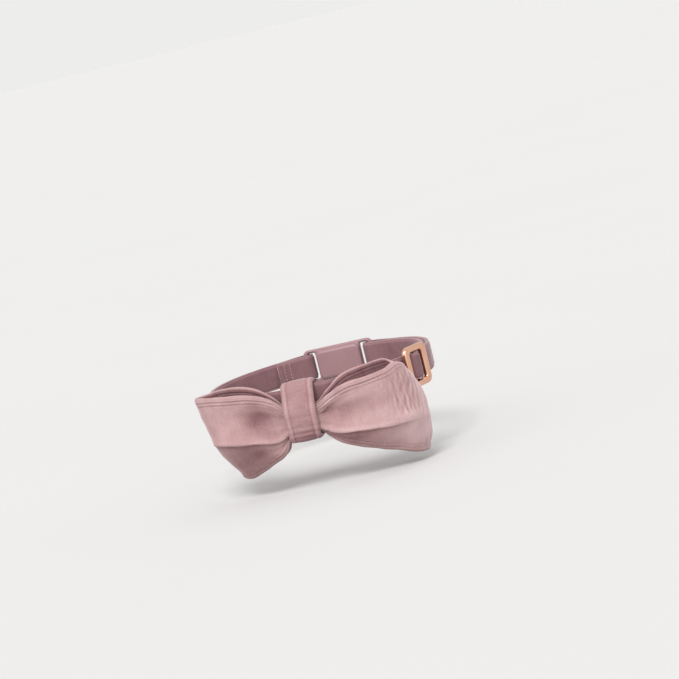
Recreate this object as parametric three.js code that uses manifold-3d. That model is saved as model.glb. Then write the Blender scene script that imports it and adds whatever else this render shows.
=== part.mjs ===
// A small velvet bow collar: a ribbon strap round the neck, a soft bow gathered by a knot band,
// a three-bar metal slide on the strap and a plain clasp at the back.
// Millimetres, +Z up along the neck, the bow in front (-Y). The origin is the middle of the neck loop.
// Angles round the neck are in degrees from the front, growing towards +X.
import * as THREE from 'three';
import { mergeVertices } from 'three/addons/utils/BufferGeometryUtils.js';
import Module from 'manifold-3d';

const wasm = await Module();
wasm.setup();

// Strap
const NECK_RADIUS = 43; // neck axis to the middle of the strap's thickness
const STRAP_WIDTH = 10;
const STRAP_THICKNESS = 1.8;
const STRAP_EDGE = 0.4; // soft edge along both sides of the ribbon
const STRAP_STEP = 3; // degrees between stations on the plain run
const GAP = 0.3; // clearance between neighbouring pieces
const LAYER_PITCH = STRAP_THICKNESS + GAP; // outer layer to the doubled-back layer
const SEWN_TAIL = 17; // degrees of strap folded back at the clasp's other bar

// Slide
const SLIDER_ANGLE = 65;
const SLIDER_LENGTH = 14.4; // along the strap
const SLIDER_HEIGHT = 16; // across the strap
const SLIDER_BAR = 3.2; // width of an end bar
const SLIDER_RAIL = 2.6; // height of a rail above and below the strap
const SLIDER_THICKNESS = 2.4;
const SLIDER_EDGE = 0.8;
const SLIDER_CORNER = 2.8;
const SLIDER_LIFT = 2.45; // strap middle to the frame's middle
const CENTRE_BAR_WIDTH = 1.8;
const CENTRE_BAR_THICKNESS = 1.2;
const CENTRE_BAR_LIFT = 1.3; // strap middle to the centre bar's middle
const STRAP_HUMP = 3.4; // how far the strap climbs over the centre bar
const STRAP_HUMP_HALF = 4.7; // half the length of that climb

// Clasp
const CLASP_RADIUS = 41.5; // neck axis to the middle of the clasp's plate
const CLASP_LENGTH = 28.8;
const CLASP_HEIGHT = 13.4;
const CLASP_PLATE = 2; // thickness at the bars
const CLASP_BAR = 2;
const CLASP_SLOT = 3;
const CLASP_SLOT_HEIGHT = 10.8;
const CLASP_BODY_THICKNESS = 5.4;
const CLASP_CORNER = 2.2;
const CLASP_EDGE = 0.6;
const CLASP_TURN = 2.4; // radius of the strap's middle round a clasp bar
const CLASP_EASE = 17; // degrees over which the strap settles back on to the neck circle

// Bow
const CLOTH = 1.8; // double-ply velvet wall
const BOW_FRONT = 50; // neck axis to the bow's reference sheet
const BOW_HEIGHT = -8; // middle of the bow below the middle of the strap
const BOW_BEND = 70; // radius to which both lobes bend back round the neck
const CREASE_ACROSS = 0.36; // where the crease runs, from the lower edge (0) to the rim (1)
const KNOT_SHARE = 0.14; // share of a lobe that lies under the knot band
const KNOT_REACH = 6.4; // half the bow's length under the knot band
const FOLD_START = 0.78; // share of a lobe at which the wall starts to turn round the outer fold
const FRONT_STEPS = 13;
const FOLD_STEPS = 9;
const BACK_STEPS = 8;
const ACROSS_STEPS = 12;

// Knot band
const KNOT_WIDTH = 11.2;
const KNOT_CLOTH = 1.5;
const KNOT_CROWN = 0.35; // how far the band swells along its middle
const KNOT_WAIST = 0.4; // how much narrower the band is at its lower end
const KNOT_STEPS = 44;
const KNOT_ACROSS_STEPS = 6;

// Each lobe has one row per section, from under the knot (share 0) to the outer fold (share 1).
// top, crease and bottom are heights from the bow's middle; out is how far the front wall stands out
// from the reference sheet; ridge is the crease's extra stand; dent is the hollow above the crease;
// lean sets the rim back; tuck sets the lower edge back; depth is the way to the back wall;
// rise lifts the back wall's rim above the front one.
const LEFT_LOBE = {
  side: -1,
  sections: [
    { share: 0.0, top: 5.6, crease: -2.4, bottom: -3.4, out: -1.5, ridge: 0.2, dent: 0.2, lean: 1.3,
      tuck: 0.3, depth: 3.2, rise: 0 },
    { share: 0.14, top: 6.6, crease: -2.9, bottom: -3.8, out: -1.2, ridge: 0.3, dent: 0.5, lean: 1.8,
      tuck: 0.6, depth: 3.4, rise: 0 },
    { share: 0.24, top: 11.0, crease: -4.4, bottom: -9.4, out: 0.4, ridge: 1.0, dent: 1.8, lean: 1.2,
      tuck: 2.2, depth: 4.8, rise: 0.4 },
    { share: 0.4, top: 14.0, crease: -3.5, bottom: -12.2, out: 1.8, ridge: 1.8, dent: 2.6, lean: 0.4,
      tuck: 4.2, depth: 6.7, rise: 1.2 },
    { share: 0.6, top: 15.0, crease: -2.5, bottom: -14.6, out: 2.4, ridge: 2.2, dent: 2.0, lean: 0,
      tuck: 5.6, depth: 8.1, rise: 1.6 },
    { share: 0.8, top: 15.4, crease: -1.7, bottom: -16.8, out: 1.8, ridge: 2.0, dent: 1.0, lean: 0,
      tuck: 5.6, depth: 8.4, rise: 1.0 },
    { share: 1.0, top: 15.0, crease: -1.6, bottom: -17.0, out: 0.6, ridge: 1.0, dent: 0.3, lean: 0,
      tuck: 4.6, depth: 7.4, rise: 0 },
  ],
  fold: [
    { across: 0.0, reach: 34.0 },
    { across: 0.18, reach: 38.0 },
    { across: 0.36, reach: 41.0 },
    { across: 0.7, reach: 44.0 },
    { across: 1.0, reach: 46.2 },
  ],
};
const RIGHT_LOBE = {
  side: 1,
  sections: [
    { share: 0.0, top: 5.6, crease: -2.4, bottom: -3.4, out: -1.5, ridge: 0.2, dent: 0.2, lean: 1.3,
      tuck: 0.3, depth: 3.2, rise: 0 },
    { share: 0.14, top: 5.4, crease: -3.0, bottom: -3.8, out: -1.2, ridge: 0.3, dent: 0.8, lean: 1.4,
      tuck: 0.5, depth: 3.4, rise: 0.4 },
    { share: 0.26, top: 8.0, crease: -5.6, bottom: -9.2, out: 0.4, ridge: 1.0, dent: 2.4, lean: 0.9,
      tuck: 1.6, depth: 5.0, rise: 1.4 },
    { share: 0.42, top: 10.7, crease: -6.6, bottom: -12.6, out: 1.8, ridge: 1.7, dent: 2.4, lean: 0.3,
      tuck: 3.2, depth: 6.9, rise: 2.6 },
    { share: 0.6, top: 11.4, crease: -7.4, bottom: -16.2, out: 2.4, ridge: 1.9, dent: 1.6, lean: 0,
      tuck: 4.6, depth: 8.3, rise: 3.2 },
    { share: 0.8, top: 12.4, crease: -7.2, bottom: -19.6, out: 1.8, ridge: 1.1, dent: 0.6, lean: -0.4,
      tuck: 4.4, depth: 8.8, rise: 2.6 },
    { share: 0.9, top: 13.4, crease: -7.1, bottom: -21.0, out: 1.2, ridge: 0.6, dent: 0.3, lean: -0.4,
      tuck: 3.8, depth: 8.4, rise: 1.4 },
    { share: 1.0, top: 11.4, crease: -7.0, bottom: -21.6, out: 0.6, ridge: 0.2, dent: 0, lean: 0,
      tuck: 3.2, depth: 7.8, rise: 0 },
  ],
  fold: [
    { across: 0.0, reach: 47.0 },
    { across: 0.18, reach: 48.8 },
    { across: 0.36, reach: 49.2 },
    { across: 0.7, reach: 47.8 },
    { across: 1.0, reach: 42.4 },
  ],
};

// The knot band's way round, seen from the side: forward from the neck axis, height from the strap's
// middle and the corner's softness.
const KNOT_CORNERS = [
  { forward: 50.9, height: -13.7, soft: 1.8 },
  { forward: 50.9, height: -3.4, soft: 2.6 },
  { forward: 45.2, height: 6.5, soft: 2.0 },
  { forward: 40.4, height: 6.5, soft: 1.7 },
  { forward: 40.4, height: -6.4, soft: 2.4 },
  { forward: 43.3, height: -13.7, soft: 1.8 },
];

const radians = THREE.MathUtils.degToRad;
const mix = THREE.MathUtils.lerp;

const VELVET = { roughness: 0.9, metalness: 0 };
const MATERIALS = {
  strap: new THREE.MeshStandardMaterial({ color: 0xb98a8d, ...VELVET }),
  bow_loop: new THREE.MeshStandardMaterial({ color: 0xc9a09f, ...VELVET }),
  knot_band: new THREE.MeshStandardMaterial({ color: 0xc59b9b, ...VELVET }),
  slider: new THREE.MeshStandardMaterial({ color: 0xdda98c, roughness: 0.25, metalness: 1 }),
  clasp: new THREE.MeshStandardMaterial({ color: 0xb58688, roughness: 0.5, metalness: 0 }),
};

// Smooth value of one column of a table at a place along its key column.
function columnAt(rows, key, column, place) {
  const last = rows.length - 1;
  let i = 0;
  while (i < last - 1 && place > rows[i + 1][key]) i += 1;
  const slope = (a, b) => (rows[b][column] - rows[a][column]) / (rows[b][key] - rows[a][key]);
  const span = rows[i + 1][key] - rows[i][key];
  const x = THREE.MathUtils.clamp((place - rows[i][key]) / span, 0, 1);
  const slopeIn = i > 0 ? slope(i - 1, i + 1) : 0;
  const slopeOut = i + 1 < last ? slope(i, i + 2) : slope(i, i + 1);
  const a = rows[i][column];
  const b = rows[i + 1][column];
  const x2 = x * x;
  const x3 = x2 * x;
  return (2 * x3 - 3 * x2 + 1) * a + (x3 - 2 * x2 + x) * span * slopeIn
    + (3 * x2 - 2 * x3) * b + (x3 - x2) * span * slopeOut;
}

// A point of the bow's middle surface. share runs from the knot to the outer fold, back from the
// front wall (0) to the back wall (1), across from the lower edge (0) to the rim (1).
function bowPoint(lobe, share, back, across) {
  const at = (column) => columnAt(lobe.sections, 'share', column, share);
  const below = across < CREASE_ACROSS;
  const x = below ? across / CREASE_ACROSS : (across - CREASE_ACROSS) / (1 - CREASE_ACROSS);
  const hollow = at('dent') * Math.sin(Math.PI * x ** 0.8);
  const frontOut = below
    ? mix(-at('tuck'), at('ridge'), x * (1.3 - 0.3 * x))
    : mix(at('ridge'), -at('lean'), x) - hollow;
  const frontHeight = below ? mix(at('bottom'), at('crease'), x) : mix(at('crease'), at('top'), x);
  const backOut = -at('depth') - 0.8 * at('tuck') * (1 - across) ** 2;
  const backHeight = mix(at('bottom') + 0.6, at('top') + at('rise'), across);
  const height = BOW_HEIGHT + mix(frontHeight, backHeight, back);
  const stand = at('out') + mix(frontOut, backOut, back);
  const reach = columnAt(lobe.fold, 'across', 'reach', across);
  const run = share < KNOT_SHARE
    ? KNOT_REACH * share / KNOT_SHARE
    : mix(KNOT_REACH, reach, (share - KNOT_SHARE) / (1 - KNOT_SHARE));
  const bend = lobe.side * run / BOW_BEND;
  const radius = BOW_BEND + stand;
  return new THREE.Vector3(
    radius * Math.sin(bend),
    BOW_BEND - BOW_FRONT - radius * Math.cos(bend),
    height,
  );
}

// Stations of one lobe: out along the front wall, round the outer fold, in along the back wall.
function lobeStations(lobe) {
  const stations = [];
  for (let i = 0; i < FRONT_STEPS; i += 1) {
    stations.push({ lobe, share: FOLD_START * i / FRONT_STEPS, back: 0 });
  }
  for (let i = 0; i < FOLD_STEPS; i += 1) {
    const turn = Math.PI * i / FOLD_STEPS;
    const share = mix(FOLD_START, 1, Math.sin(turn));
    stations.push({ lobe, share, back: (1 - Math.cos(turn)) / 2 });
  }
  for (let i = 0; i <= BACK_STEPS; i += 1) {
    stations.push({ lobe, share: FOLD_START * (1 - i / BACK_STEPS), back: 1 });
  }
  return stations;
}

// A soft wall that closes on itself: a grid of middle points, given thickness on both sides and a
// rounded edge along both rims.
function closedWall(grid, thickness) {
  const around = grid.length;
  const across = grid[0].length;
  const ring = 2 * across + 2;
  const positions = [];
  const index = [];
  for (let i = 0; i < around; i += 1) {
    const next = grid[(i + 1) % around];
    const previous = grid[(i + around - 1) % around];
    const outer = [];
    const inner = [];
    for (let j = 0; j < across; j += 1) {
      const along = next[j].clone().sub(previous[j]);
      const over = grid[i][Math.min(j + 1, across - 1)].clone().sub(grid[i][Math.max(j - 1, 0)]);
      const normal = along.cross(over).setLength(thickness / 2);
      outer.push(grid[i][j].clone().add(normal));
      inner.push(grid[i][j].clone().sub(normal));
    }
    const rim = grid[i][across - 1].clone().sub(grid[i][across - 2]).setLength(thickness * 0.35);
    const hem = grid[i][0].clone().sub(grid[i][1]).setLength(thickness * 0.35);
    const loop = [...outer, rim.add(grid[i][across - 1]), ...inner.reverse(), hem.add(grid[i][0])];
    loop.forEach((point) => positions.push(point.x, point.y, point.z));
    for (let k = 0; k < ring; k += 1) {
      const a = i * ring + k;
      const b = i * ring + (k + 1) % ring;
      const c = ((i + 1) % around) * ring + (k + 1) % ring;
      const d = ((i + 1) % around) * ring + k;
      index.push(a, d, c, a, c, b);
    }
  }
  const geometry = new THREE.BufferGeometry();
  geometry.setAttribute('position', new THREE.Float32BufferAttribute(positions, 3));
  geometry.setIndex(index);
  geometry.computeVertexNormals();
  return geometry;
}

function bowGeometry() {
  const right = lobeStations(RIGHT_LOBE);
  const left = lobeStations(LEFT_LOBE).slice(1, -1).reverse();
  const grid = [...right, ...left].map(({ lobe, share, back }) => {
    const strip = [];
    for (let j = 0; j <= ACROSS_STEPS; j += 1) {
      strip.push(bowPoint(lobe, share, back, j / ACROSS_STEPS));
    }
    return strip;
  });
  return closedWall(grid, CLOTH);
}

// The knot band's side outline, with every corner rounded.
function knotOutline() {
  const path = new THREE.Path();
  const corners = KNOT_CORNERS.map(({ forward, height, soft }) => {
    return { at: new THREE.Vector2(forward, height), soft };
  });
  corners.forEach(({ at, soft }, i) => {
    const before = corners[(i + corners.length - 1) % corners.length].at;
    const after = corners[(i + 1) % corners.length].at;
    const start = before.clone().sub(at).setLength(soft).add(at);
    const end = after.clone().sub(at).setLength(soft).add(at);
    if (i === 0) path.moveTo(start.x, start.y);
    else path.lineTo(start.x, start.y);
    path.quadraticCurveTo(at.x, at.y, end.x, end.y);
  });
  path.closePath();
  return path.getSpacedPoints(KNOT_STEPS).slice(0, KNOT_STEPS);
}

function knotGeometry() {
  const outline = knotOutline();
  const top = Math.max(...outline.map((point) => point.y));
  const low = Math.min(...outline.map((point) => point.y));
  const centre = new THREE.Vector2(
    outline.reduce((sum, point) => sum + point.x, 0) / outline.length,
    outline.reduce((sum, point) => sum + point.y, 0) / outline.length,
  );
  const grid = outline.map((point) => {
    const width = KNOT_WIDTH - KNOT_WAIST * (top - point.y) / (top - low);
    const outward = point.clone().sub(centre).normalize();
    const strip = [];
    for (let j = 0; j <= KNOT_ACROSS_STEPS; j += 1) {
      const x = j / KNOT_ACROSS_STEPS - 0.5;
      const swell = KNOT_CROWN * (1 - 4 * x * x);
      strip.push(new THREE.Vector3(x * width, -point.x - outward.x * swell, point.y + outward.y * swell));
    }
    return strip;
  });
  return closedWall(grid, KNOT_CLOTH);
}

const onNeck = (angle, radius) => new THREE.Vector2(
  radius * Math.sin(radians(angle)),
  -radius * Math.cos(radians(angle)),
);

// Radius of the strap's outer layer: the neck circle, the hump over the slide's centre bar and the
// rise over both clasp bars.
function strapRadius(angle) {
  const fromSlide = Math.abs(radians(angle - SLIDER_ANGLE)) * NECK_RADIUS;
  const hump = fromSlide < STRAP_HUMP_HALF
    ? STRAP_HUMP * Math.cos(Math.PI * fromSlide / STRAP_HUMP_HALF / 2) ** 2
    : 0;
  const bar = claspBarCentre(1);
  const start = new THREE.Vector2(bar.x, bar.y + CLASP_TURN);
  const startAngle = THREE.MathUtils.radToDeg(Math.atan2(start.x, -start.y));
  const away = THREE.MathUtils.clamp((startAngle - Math.abs(angle)) / CLASP_EASE, 0, 1);
  const ease = 1 - away * away * (3 - 2 * away);
  return NECK_RADIUS + hump + ease * (start.length() - NECK_RADIUS);
}

// Middle of a clasp bar, on the +X side (1) or the -X side (-1).
function claspBarCentre(side) {
  return new THREE.Vector2(side * (CLASP_LENGTH - CLASP_BAR) / 2, CLASP_RADIUS);
}

// The strap's middle line from its sewn tail, round one clasp bar, round the neck, through the slide,
// round the other clasp bar and back under the slide.
function strapMiddle() {
  const points = [];
  const innerRadius = NECK_RADIUS - LAYER_PITCH;
  const bar = claspBarCentre(1);
  const outerEnd = THREE.MathUtils.radToDeg(Math.atan2(bar.x, -bar.y - CLASP_TURN));
  const innerEnd = THREE.MathUtils.radToDeg(Math.atan2(bar.x, -bar.y + CLASP_TURN));
  const innerStart = new THREE.Vector2(bar.x, bar.y - CLASP_TURN).length();
  const innerLayer = (angle) => {
    const away = THREE.MathUtils.clamp((innerEnd - angle) / CLASP_EASE, 0, 1);
    const underSlide = THREE.MathUtils.clamp((SLIDER_ANGLE + 6 - angle) / 5, 0, 1);
    return mix(innerStart, innerRadius, away * away * (3 - 2 * away)) + underSlide * underSlide * 1.2;
  };
  const turnSteps = 10;
  for (let angle = innerEnd - SEWN_TAIL; angle < innerEnd; angle += STRAP_STEP) {
    points.push(onNeck(-angle, innerLayer(angle)));
  }
  for (let i = 0; i <= turnSteps; i += 1) {
    const turn = radians(-90 + 180 * i / turnSteps);
    points.push(new THREE.Vector2(-bar.x + CLASP_TURN * Math.cos(turn), bar.y + CLASP_TURN * Math.sin(turn)));
  }
  for (let angle = -outerEnd + STRAP_STEP; angle < outerEnd - STRAP_STEP / 2;) {
    points.push(onNeck(angle, strapRadius(angle)));
    angle += Math.abs(angle - SLIDER_ANGLE) < 9 ? STRAP_STEP / 3 : STRAP_STEP;
  }
  for (let i = 0; i <= turnSteps; i += 1) {
    const turn = radians(90 + 180 * i / turnSteps);
    points.push(new THREE.Vector2(bar.x + CLASP_TURN * Math.cos(turn), bar.y + CLASP_TURN * Math.sin(turn)));
  }
  for (let angle = innerEnd - STRAP_STEP; angle > SLIDER_ANGLE; angle -= STRAP_STEP) {
    points.push(onNeck(angle, innerLayer(angle)));
  }
  return points;
}

function strapGeometry() {
  const middle = strapMiddle();
  const sides = [1, -1].map((side) => middle.map((point, i) => {
    const before = middle[Math.max(i - 1, 0)];
    const after = middle[Math.min(i + 1, middle.length - 1)];
    const along = after.clone().sub(before).normalize();
    return new THREE.Vector2(along.y, -along.x).multiplyScalar(side * STRAP_THICKNESS / 2).add(point);
  }));
  const outline = new THREE.Shape([...sides[0], ...sides[1].reverse()]);
  const geometry = new THREE.ExtrudeGeometry(outline, {
    depth: STRAP_WIDTH - 2 * STRAP_EDGE,
    bevelThickness: STRAP_EDGE,
    bevelSize: STRAP_EDGE,
    bevelOffset: -STRAP_EDGE,
    bevelSegments: 1,
  });
  geometry.translate(0, 0, STRAP_EDGE - STRAP_WIDTH / 2);
  return geometry;
}

// A flat outline with round corners, drawn on a Shape or on a hole's Path.
function roundedRectangle(path, x, y, width, height, corner) {
  const left = x - width / 2;
  const right = x + width / 2;
  const low = y - height / 2;
  const high = y + height / 2;
  path.moveTo(left + corner, low);
  path.lineTo(right - corner, low);
  path.absarc(right - corner, low + corner, corner, -Math.PI / 2, 0);
  path.lineTo(right, high - corner);
  path.absarc(right - corner, high - corner, corner, 0, Math.PI / 2);
  path.lineTo(left + corner, high);
  path.absarc(left + corner, high - corner, corner, Math.PI / 2, Math.PI);
  path.lineTo(left, low + corner);
  path.absarc(left + corner, low + corner, corner, Math.PI, Math.PI * 1.5);
  return path;
}

// A plate of the given outline, centred on its own middle plane, with softened edges.
function plate(shape, thickness, edge) {
  const geometry = new THREE.ExtrudeGeometry(shape, {
    depth: thickness - 2 * edge,
    bevelThickness: edge,
    bevelSize: edge,
    bevelOffset: -edge,
    bevelSegments: 2,
    curveSegments: 4,
  });
  return geometry.translate(0, 0, edge - thickness / 2);
}

function solidOf(geometry) {
  const bare = geometry.clone();
  bare.deleteAttribute('normal');
  bare.deleteAttribute('uv');
  const merged = mergeVertices(bare, 1e-4);
  return new wasm.Manifold(new wasm.Mesh({
    numProp: 3,
    vertProperties: new Float32Array(merged.attributes.position.array),
    triVerts: new Uint32Array(merged.index.array),
  }));
}

function joined(first, second) {
  const mesh = solidOf(first).add(solidOf(second)).getMesh();
  const geometry = new THREE.BufferGeometry();
  geometry.setAttribute('position', new THREE.BufferAttribute(mesh.vertProperties, 3));
  geometry.setIndex(new THREE.BufferAttribute(mesh.triVerts, 1));
  geometry.computeVertexNormals();
  return geometry;
}

// The slide: a rounded frame with a lower centre bar that the strap climbs over.
function sliderGeometry() {
  const frame = roundedRectangle(new THREE.Shape(), 0, 0, SLIDER_LENGTH, SLIDER_HEIGHT, SLIDER_CORNER);
  const window = roundedRectangle(new THREE.Path(), 0, 0, SLIDER_LENGTH - 2 * SLIDER_BAR,
    SLIDER_HEIGHT - 2 * SLIDER_RAIL, 0.6);
  frame.holes.push(window);
  const bar = roundedRectangle(new THREE.Shape(), 0, 0, CENTRE_BAR_WIDTH, SLIDER_HEIGHT - SLIDER_RAIL, 0.4);
  const barGeometry = plate(bar, CENTRE_BAR_THICKNESS, 0.3);
  barGeometry.translate(0, 0, CENTRE_BAR_LIFT - SLIDER_LIFT);
  return joined(plate(frame, SLIDER_THICKNESS, SLIDER_EDGE), barGeometry);
}

// The clasp: a thin plate with a slot at each end, thicker over the closed middle.
function claspGeometry() {
  const outline = roundedRectangle(new THREE.Shape(), 0, 0, CLASP_LENGTH, CLASP_HEIGHT, CLASP_CORNER);
  const slotAt = CLASP_LENGTH / 2 - CLASP_BAR - CLASP_SLOT / 2;
  for (const side of [-1, 1]) {
    const slot = new THREE.Path();
    outline.holes.push(roundedRectangle(slot, side * slotAt, 0, CLASP_SLOT, CLASP_SLOT_HEIGHT, 0.7));
  }
  const bodyLength = CLASP_LENGTH - 2 * (CLASP_BAR + CLASP_SLOT) - 0.6;
  const body = roundedRectangle(new THREE.Shape(), 0, 0, bodyLength, CLASP_HEIGHT - 0.8, CLASP_CORNER);
  return joined(plate(outline, CLASP_PLATE, CLASP_EDGE), plate(body, CLASP_BODY_THICKNESS, 1));
}

// A piece that stands on the neck circle, its own +Z pointing away from the neck.
function onStrap(mesh, angle, radius) {
  const turned = new THREE.Group();
  mesh.rotation.x = Math.PI / 2;
  mesh.position.y = -radius;
  turned.rotation.z = radians(angle);
  turned.add(mesh);
  return turned;
}

function piece(name, geometry) {
  const mesh = new THREE.Mesh(geometry, MATERIALS[name]);
  mesh.name = name;
  return mesh;
}

const collar = new THREE.Group();
collar.add(piece('strap', strapGeometry()));
collar.add(piece('bow_loop', bowGeometry()));
collar.add(piece('knot_band', knotGeometry()));
collar.add(onStrap(piece('slider', sliderGeometry()), SLIDER_ANGLE, NECK_RADIUS + SLIDER_LIFT));
collar.add(onStrap(piece('clasp', claspGeometry()), 180, CLASP_RADIUS));

export default collar;
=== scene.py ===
"""A dusty-pink velvet bow collar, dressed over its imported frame.

The tables are in millimetres and the meshes in metres, all in the row frame: +Z along the neck,
the bow towards -Y, +X to the right as seen from in front.
"""
import math

import bmesh
import bpy
import numpy as np
from mathutils import Matrix, Vector


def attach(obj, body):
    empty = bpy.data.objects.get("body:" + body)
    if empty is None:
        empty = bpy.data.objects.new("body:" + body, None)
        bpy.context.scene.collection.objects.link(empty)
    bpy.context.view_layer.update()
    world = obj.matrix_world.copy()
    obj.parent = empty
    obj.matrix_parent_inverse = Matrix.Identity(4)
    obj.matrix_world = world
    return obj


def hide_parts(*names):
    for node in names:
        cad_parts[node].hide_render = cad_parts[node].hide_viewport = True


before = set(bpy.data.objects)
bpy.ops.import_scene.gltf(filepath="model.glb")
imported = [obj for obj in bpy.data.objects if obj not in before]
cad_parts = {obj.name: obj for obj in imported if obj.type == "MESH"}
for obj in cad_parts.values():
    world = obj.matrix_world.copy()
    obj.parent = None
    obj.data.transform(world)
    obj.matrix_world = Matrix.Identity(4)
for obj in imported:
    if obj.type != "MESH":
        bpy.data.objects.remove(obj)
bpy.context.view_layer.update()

MM = 0.001
scene = bpy.context.scene
rng = np.random.default_rng(11)

# Strap, slide and clasp, as in the solids
NECK_RADIUS = 43.0
STRAP_THICKNESS = 1.8
LAYER_PITCH = STRAP_THICKNESS + 0.3
SEWN_TAIL = 17.0
SLIDER_ANGLE = 65.0
SLIDER_LENGTH = 14.4
SLIDER_HEIGHT = 16.0
SLIDER_BAR = 3.2
SLIDER_RAIL = 2.6
SLIDER_THICKNESS = 2.4
SLIDER_CORNER = 2.8
SLIDER_ROUND = 1.28  # radius of the frame's rounded section, before it is flattened to its thickness
SLIDER_LIFT = 2.45
SLIDER_WINDOW_CORNER = 0.9
CENTRE_BAR_CORNER = 0.5
CENTRE_BAR_EDGE = 0.45
CENTRE_BAR_WIDTH = 1.8
CENTRE_BAR_THICKNESS = 1.2
CENTRE_BAR_LIFT = 1.3
STRAP_HUMP = 3.4
STRAP_HUMP_HALF = 4.7
STRAP_END = 1.4  # degrees from the slide's middle to the doubled layer's end
CLASP_RADIUS = 41.5
CLASP_LENGTH = 28.8
CLASP_HEIGHT = 13.4
CLASP_PLATE = 2.0
CLASP_BAR = 2.0
CLASP_SLOT = 3.0
CLASP_SLOT_HEIGHT = 10.8
CLASP_BODY_THICKNESS = 5.4
CLASP_CORNER = 2.2
CLASP_SLOT_CORNER = 0.8
CLASP_EDGE = 0.7
CLASP_BODY_EDGE = 1.2
CLASP_BODY_GAP = 0.6  # body to the slots, both sides together
CLASP_BODY_INSET = 1.8  # how much lower than the plate the body is
CLASP_TURN = 2.4
CLASP_EASE = 17.0

# Bow and knot band
CLOTH = 1.8
BOW_FRONT = 50.0
BOW_HEIGHT = -8.0
BOW_BEND = 70.0
CREASE_ACROSS = 0.36
KNOT_SHARE = 0.14
KNOT_REACH = 6.4
FOLD_START = 0.78
KNOT_WIDTH = 11.2
KNOT_CLOTH = 1.5
KNOT_CROWN = 0.35
KNOT_WAIST = 0.4
OPEN_FROM = 5.5  # along the lobe, where the cloth leaves the knot band
OPEN_OVER = 4.0  # length over which it opens
KNOT_FACE = 49.0  # neck axis to where the band's front face begins
KNOT_FACE_TOP = -2.4  # height of that face's upper end

# Ribbon section, from its middle: full pile, start of the thinner woven edge, side
RIBBON_PILE = 3.6
RIBBON_EDGE = 3.9
RIBBON_SIDE = 4.95
RIBBON_ROUND = 0.05  # rounding past the side
RIBBON_EDGE_HALF = 0.58  # half the thickness of the woven edge
RIBBON_STATION = 0.45  # spacing of stations along the strap

# Hem, from the cloth's edge
BEAD_WIDTH = 1.1
SECOND_BEAD = 1.2
FIRST_GROOVE = 1.15
SECOND_GROOVE = 2.4
STITCH_PITCH = 1.8

# Crushed pile of the right lobe: number of ripples, and the range of their waves in radians per millimetre
CRUSH_WAVES = 16
CRUSH_ALONG = (1.8, 4.6)
CRUSH_UP = (-1.5, 1.5)

# Velvet from the darkest to the lightest value, for the nap's lie and for painted shade and painted
# highlight, and streaks per metre round and across the cloth
BOW_COLOURS = ((0.15, 0.068, 0.076), (0.36, 0.222, 0.221), (0.55, 0.392, 0.400))
STRAP_COLOURS = ((0.10, 0.045, 0.053), (0.25, 0.138, 0.148), (0.36, 0.225, 0.235))
STREAKS = (700, 190)

# The photograph's view: image size and scale, and the knot's middle from the image's centre in pixels
IMAGE_SIZE = 679
MM_PER_PIXEL = 0.37
KNOT_LEFT = 36.5
KNOT_BELOW = 84.5
VIEW_AZIMUTH = 12.0
VIEW_ELEVATION = 7.0
VIEW_ROLL = 14.0
VIEW_DISTANCE = 1.0  # metres
SENSOR_WIDTH = 36.0

# Floor in metres, sky, and suns: name, direction towards the sun, strength, width in degrees
FLOOR_REACH = 40.0
FLOOR_LEVEL = -0.0335
SKY_COLOUR = (1.0, 0.995, 0.988, 1)
SKY_STRENGTH = 0.85
SUNS = (
    ("key", (0.02, -0.68, 0.74), 2.6, 28),
    ("fill", (-0.70, -0.50, 0.35), 0.4, 60),
    ("glint", (0.45, -0.88, 0.08), 0.25, 22),
)

# One row per section from under the knot (share 0) to the outer fold (share 1), in millimetres.
# top, crease and bottom are heights from the bow's middle; out, ridge, dent, lean and tuck set the front wall
# forward or back; depth and rise place the back wall; lip is the step under the crease.
COLUMNS = ("share", "top", "crease", "bottom", "out", "ridge", "dent", "lean", "tuck", "depth", "rise", "lip")
LEFT_SECTIONS = (
    (0.00, 5.6, -2.4, -3.4, -1.5, 0.2, 0.2, 1.3, 0.3, 3.2, 0.0, 0.0),
    (0.14, 6.6, -2.9, -3.8, -1.2, 0.3, 0.5, 1.8, 0.6, 3.4, 0.0, 0.2),
    (0.24, 11.0, -4.4, -9.4, 0.4, 1.0, 1.8, 1.2, 2.2, 4.8, 0.4, 0.7),
    (0.40, 14.0, -3.5, -12.2, 1.8, 1.8, 2.6, 0.4, 4.2, 6.7, 1.2, 0.9),
    (0.60, 15.0, -2.5, -14.6, 2.4, 2.2, 2.0, 0.0, 5.6, 8.1, 1.6, 0.9),
    (0.80, 15.4, -1.7, -16.8, 1.8, 2.0, 1.0, 0.0, 5.6, 8.4, 1.0, 0.7),
    (1.00, 15.0, -1.6, -17.0, 0.6, 1.0, 0.3, 0.0, 4.6, 7.4, 0.0, 0.3),
)
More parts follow.
